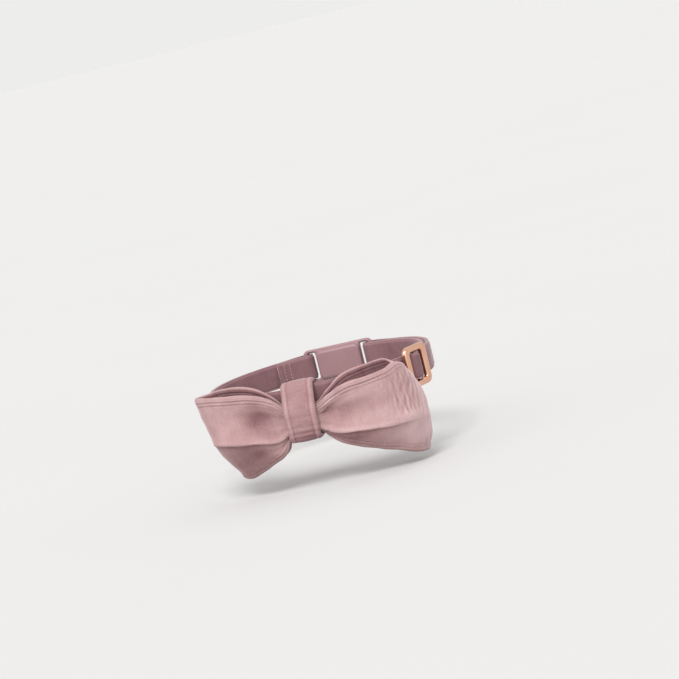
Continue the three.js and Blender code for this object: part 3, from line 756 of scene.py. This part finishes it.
def math_node(tree, operation, a, b):
    node = add(tree, "ShaderNodeMath", operation=operation)
    for socket, value in zip(node.inputs, (a, b)):
        if isinstance(value, (int, float)):
            socket.default_value = value
        else:
            tree.links.new(value, socket)
    return node.outputs[0]


def velvet(name, colours, cloth_size):
    """Velvet: a short nap, darker or lighter by a mesh attribute that holds the nap's lie together with
    painted shade and painted highlight, with streaks along the pile.
    """
    material, tree, shader = node_material(name)
    place = add(tree, "ShaderNodeTexCoord")
    cloth = add(tree, "ShaderNodeMapping", [("Vector", place.outputs["UV"])])
    cloth.inputs["Scale"].default_value = (cloth_size[0] * STREAKS[0], cloth_size[1] * STREAKS[1], 1)
    streaks = noise(tree, cloth.outputs["Vector"], 1.0, 2.0)
    mottle = noise(tree, place.outputs["Object"], 110.0, 3.0)
    pile = noise(tree, place.outputs["Object"], 2400.0, 2.0, 0.7)
    # The attribute holds the nap's lie together with painted shade and painted highlight.
    nap_lie_and_painted_shading = add(tree, "ShaderNodeAttribute", attribute_name="nap_and_painted_shading").outputs["Fac"]
    tone = math_node(tree, "MULTIPLY_ADD", nap_lie_and_painted_shading, -0.42)
    tone.node.inputs[2].default_value = 0.5
    for source, share in ((streaks, 0.15), (mottle, 0.34), (pile, 0.40)):
        swing = math_node(tree, "SUBTRACT", source, 0.5)
        tone = math_node(tree, "ADD", tone, math_node(tree, "MULTIPLY", swing, share))
    ramp = add(tree, "ShaderNodeValToRGB", [("Fac", tone)])
    ramp.color_ramp.elements[0].position, ramp.color_ramp.elements[1].position = 0.05, 0.95
    middle = ramp.color_ramp.elements.new(0.5)
    for element, colour in zip((ramp.color_ramp.elements[0], middle, ramp.color_ramp.elements[2]), colours):
        element.color = (*colour, 1)
    tree.links.new(ramp.outputs["Color"], shader.inputs["Base Color"])
    bump = add(tree, "ShaderNodeBump", [("Height", pile)])
    bump.inputs["Strength"].default_value = 0.35
    bump.inputs["Distance"].default_value = 0.0003
    tree.links.new(bump.outputs["Normal"], shader.inputs["Normal"])
    shader.inputs["Roughness"].default_value = 0.95
    shader.inputs["Specular IOR Level"].default_value = 0.15
    shader.inputs["Sheen Weight"].default_value = 0.60
    shader.inputs["Sheen Roughness"].default_value = 0.30
    shader.inputs["Sheen Tint"].default_value = (1.0, 0.86, 0.86, 1)
    return material


def thread():
    material, tree, shader = node_material("thread")
    place = add(tree, "ShaderNodeTexCoord").outputs["Object"]
    ramp = add(tree, "ShaderNodeValToRGB", [("Fac", noise(tree, place, 3000.0, 2.0))])
    ramp.color_ramp.elements[0].color = (0.22, 0.11, 0.12, 1)
    ramp.color_ramp.elements[1].color = (0.42, 0.25, 0.26, 1)
    tree.links.new(ramp.outputs["Color"], shader.inputs["Base Color"])
    shader.inputs["Roughness"].default_value = 0.6
    return material


def rose_gold():
    material, tree, shader = node_material("rose_gold")
    place = add(tree, "ShaderNodeTexCoord").outputs["Object"]
    wear = noise(tree, place, 260.0, 4.0)
    ramp = add(tree, "ShaderNodeValToRGB", [("Fac", wear)])
    ramp.color_ramp.elements[0].color = (0.70, 0.375, 0.255, 1)
    ramp.color_ramp.elements[1].color = (0.84, 0.51, 0.37, 1)
    tree.links.new(ramp.outputs["Color"], shader.inputs["Base Color"])
    rough = math_node(tree, "MULTIPLY_ADD", wear, 0.16)
    rough.node.inputs[2].default_value = 0.14
    tree.links.new(rough, shader.inputs["Roughness"])
    bump = add(tree, "ShaderNodeBump", [("Height", noise(tree, place, 1400.0, 2.0))])
    bump.inputs["Strength"].default_value = 0.05
    bump.inputs["Distance"].default_value = 0.0002
    tree.links.new(bump.outputs["Normal"], shader.inputs["Normal"])
    shader.inputs["Metallic"].default_value = 1.0
    return material


def moulded_plastic():
    material, tree, shader = node_material("moulded_plastic")
    place = add(tree, "ShaderNodeTexCoord").outputs["Object"]
    grain = noise(tree, place, 1800.0, 2.0)
    ramp = add(tree, "ShaderNodeValToRGB", [("Fac", noise(tree, place, 120.0, 3.0))])
    ramp.color_ramp.elements[0].color = (0.25, 0.138, 0.148, 1)
    ramp.color_ramp.elements[1].color = (0.31, 0.180, 0.190, 1)
    tree.links.new(ramp.outputs["Color"], shader.inputs["Base Color"])
    bump = add(tree, "ShaderNodeBump", [("Height", grain)])
    bump.inputs["Strength"].default_value = 0.12
    bump.inputs["Distance"].default_value = 0.0002
    tree.links.new(bump.outputs["Normal"], shader.inputs["Normal"])
    shader.inputs["Roughness"].default_value = 0.42
    return material


# Floor, light and camera


def make_floor():
    mesh = bpy.data.meshes.new("floor")
    signs = ((-1, -1), (1, -1), (1, 1), (-1, 1))
    corners = [(x * FLOOR_REACH, y * FLOOR_REACH, FLOOR_LEVEL) for x, y in signs]
    mesh.from_pydata(corners, [], [(0, 1, 2, 3)])
    floor = placed("floor", mesh)
    material, tree, shader = node_material("pale_floor")
    place = add(tree, "ShaderNodeTexCoord").outputs["Object"]
    ramp = add(tree, "ShaderNodeValToRGB", [("Fac", noise(tree, place, 6.0, 2.0))])
    ramp.color_ramp.elements[0].color = (0.556, 0.553, 0.549, 1)
    ramp.color_ramp.elements[1].color = (0.571, 0.568, 0.564, 1)
    tree.links.new(ramp.outputs["Color"], shader.inputs["Base Color"])
    shader.inputs["Roughness"].default_value = 0.9
    mesh.materials.append(material)


def add_sun(name, towards, strength, spread):
    """A soft, even light from a direction; spread is its width in degrees."""
    light = bpy.data.lights.new(name, "SUN")
    light.energy = strength
    light.angle = math.radians(spread)
    lamp = bpy.data.objects.new(name, light)
    lamp.rotation_euler = Vector(towards).to_track_quat("Z", "Y").to_euler()
    scene.collection.objects.link(lamp)


def light_scene():
    """Even light: the floor comes out as bright as the sky, so that no horizon shows."""
    world = bpy.data.worlds.new("studio")
    world.use_nodes = True
    sky = world.node_tree.nodes["Background"]
    sky.inputs["Color"].default_value = SKY_COLOUR
    sky.inputs["Strength"].default_value = SKY_STRENGTH
    scene.world = world
    for sun in SUNS:
        add_sun(*sun)


def place_camera():
    """The photograph's view, with the knot's middle at its place in the image."""
    azimuth = math.radians(VIEW_AZIMUTH)
    elevation = math.radians(VIEW_ELEVATION)
    roll = math.radians(VIEW_ROLL)
    pixel = MM_PER_PIXEL * MM
    back = Vector((math.sin(azimuth) * math.cos(elevation), -math.cos(azimuth) * math.cos(elevation),
                   math.sin(elevation)))
    level = Vector((math.cos(azimuth), math.sin(azimuth), 0))
    upright = back.cross(level)
    right = level * math.cos(roll) - upright * math.sin(roll)
    up = level * math.sin(roll) + upright * math.cos(roll)
    knot = Vector((0, -BOW_FRONT, BOW_HEIGHT)) * MM
    place = knot + back * VIEW_DISTANCE + right * KNOT_LEFT * pixel + up * KNOT_BELOW * pixel
    data = bpy.data.cameras.new("camera")
    data.sensor_width = SENSOR_WIDTH
    data.lens = SENSOR_WIDTH * VIEW_DISTANCE / (IMAGE_SIZE * pixel)
    data.clip_start = 0.01
    data.clip_end = 50.0
    camera = bpy.data.objects.new("camera", data)
    turn = Matrix((right, up, back)).transposed().to_4x4()
    camera.matrix_world = Matrix.Translation(place) @ turn
    scene.collection.objects.link(camera)
    scene.camera = camera


def dress(piece, node, material):
    """Gives a piece its material and puts it in place of its solid."""
    piece.data.materials.clear()
    piece.data.materials.append(material)
    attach(piece, "root")
    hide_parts(node)


scene.view_settings.view_transform = "Standard"
place_camera()
light_scene()
make_floor()

bow_velvet = velvet("bow_velvet", BOW_COLOURS, (0.200, 0.075))
knot_velvet = velvet("knot_velvet", BOW_COLOURS, (0.062, 0.027))
strap_velvet = velvet("strap_velvet", STRAP_COLOURS, (0.360, 0.024))

bow = make_bow()
dress(bow, "bow_loop", bow_velvet)
knot = make_knot()
dress(knot, "knot_band", knot_velvet)
strap = make_strap()
dress(strap, "strap", strap_velvet)
strap_length()
stitches = make_stitches()
stitches.data.materials.append(thread())
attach(stitches, "root")
dress(make_slider(), "slider", rose_gold())
dress(make_clasp(), "clasp", moulded_plastic())
